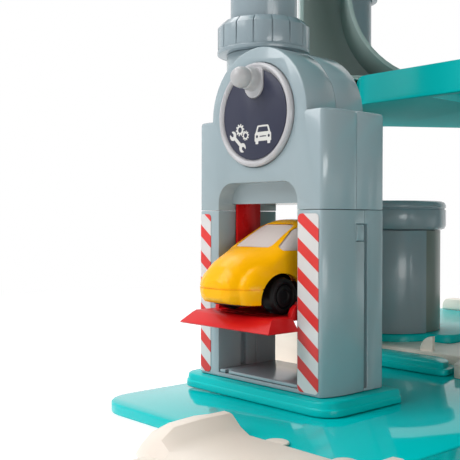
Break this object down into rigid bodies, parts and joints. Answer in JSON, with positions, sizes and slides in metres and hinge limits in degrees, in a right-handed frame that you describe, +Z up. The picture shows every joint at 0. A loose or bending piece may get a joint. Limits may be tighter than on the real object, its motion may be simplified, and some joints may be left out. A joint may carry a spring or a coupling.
{
  "type": "toy parking garage",
  "caption": "Toy parking garage with a crank-driven service lift, two decks on ribbed columns, ramps, round kiosk and a toy car on the lift platform.",
  "frame": {"origin": "centre of the bounding box's footprint, on the floor plane", "axes": "+Z up, -Y towards the front of the lift tower where the car drives off, +X towards the ramps"},
  "size_m": [0.38, 0.48, 0.3485],
  "materials": {
    "teal": "glossy injection-moulded, teal",
    "cream": "satin, cream",
    "grey": "satin, grey-blue",
    "tube": "satin, slate grey",
    "shaft": "satin, grey-green",
    "red": "glossy, red",
    "yellow": "glossy, yellow",
    "pale": "glossy, pinkish white",
    "black": "satin, black",
    "rim": "satin, pale grey",
    "navy": "printed label, navy",
    "stripe": "printed reflective label, red and white slanted stripes",
    "steel": "bright steel",
    "gear": "natural grey"
  },
  "bodies": {
    "garage": {"base_left": "teal", "base_right": "teal", "lift_pad": "teal", "rear_pad": "teal", "terrace": "teal", "deck_1": "teal", "deck_2": "teal", "road_front": "cream", "road_back": "cream", "road_rear": "cream", "kerb_back": "cream", "ramp_lower": "cream", "ramp_upper": "cream", "parapet": "cream", "frame_front": "grey", "frame_rear": "grey", "latch_left": "grey", "latch_right": "grey", "lift_floor": "grey", "housing_front": "grey", "housing_rear": "grey", "stripe_label_left": "stripe", "stripe_label_right": "stripe", "column_a": "tube", "column_b": "tube", "column_f_lower": "tube", "column_f_upper": "tube", "column_g": "tube", "column_rear_left": "tube", "column_rear_right": "tube", "sleeve_b": "tube", "collar_a": "tube", "collar_f": "tube", "collar_f_upper": "tube", "collar_g": "tube", "collar_rear_left": "tube", "collar_rear_right": "tube", "kiosk_body": "tube", "kiosk_lid": "tube", "shaft_wall": "shaft", "ramp_post": "shaft"},
    "crank": {"drive_gear": "gear", "crank_wheel": "rim", "wheel_label": "navy"},
    "pinion": {"drive_pinion": "gear"},
    "lift": {"lift_platform": "red"},
    "car": {"car_body": "yellow", "car_windows": "pale", "car_chassis": "black"},
    "front_wheels": {"axle_front": "steel", "wheel_front_left": "black", "wheel_front_right": "black"},
    "rear_wheels": {"axle_rear": "steel", "wheel_rear_left": "black", "wheel_rear_right": "black"}
  },
  "joints": [
    {"name": "crank_turn", "type": "hinge", "parent": "garage", "child": "crank", "pos_m": [-0.08, -0.09, 0.1421], "axis": [0, -1, 0], "range_deg": [-101, 18.5]},
    {"name": "pinion_turn", "type": "hinge", "parent": "garage", "child": "pinion", "pos_m": [-0.0948, -0.09, 0.12397], "axis": [0, -1, 0], "range_deg": [-36, 192]},
    {"name": "lift_slide", "type": "slide", "parent": "garage", "child": "lift", "axis": [0, 0, 1], "range_m": [-0.0269, 0.0049]},
    {"name": "car_roll", "type": "slide", "parent": "lift", "child": "car", "axis": [0, -1, 0], "range_m": [0, 0.05]},
    {"name": "front_axle_turn", "type": "hinge", "parent": "car", "child": "front_wheels", "pos_m": [-0.08, -0.091, 0.0565], "axis": [1, 0, 0], "range_deg": [-10, 360]},
    {"name": "rear_axle_turn", "type": "hinge", "parent": "car", "child": "rear_wheels", "pos_m": [-0.08, -0.059, 0.0565], "axis": [1, 0, 0], "range_deg": [-10, 360]}
  ],
  "couplings": [
    {"joint": "crank_turn", "follows": "lift_slide", "rad_per_m": 65.359},
    {"joint": "pinion_turn", "follows": "lift_slide", "rad_per_m": -123.46},
    {"joint": "front_axle_turn", "follows": "car_roll", "rad_per_m": 114.94},
    {"joint": "rear_axle_turn", "follows": "car_roll", "rad_per_m": 114.94}
  ]
}
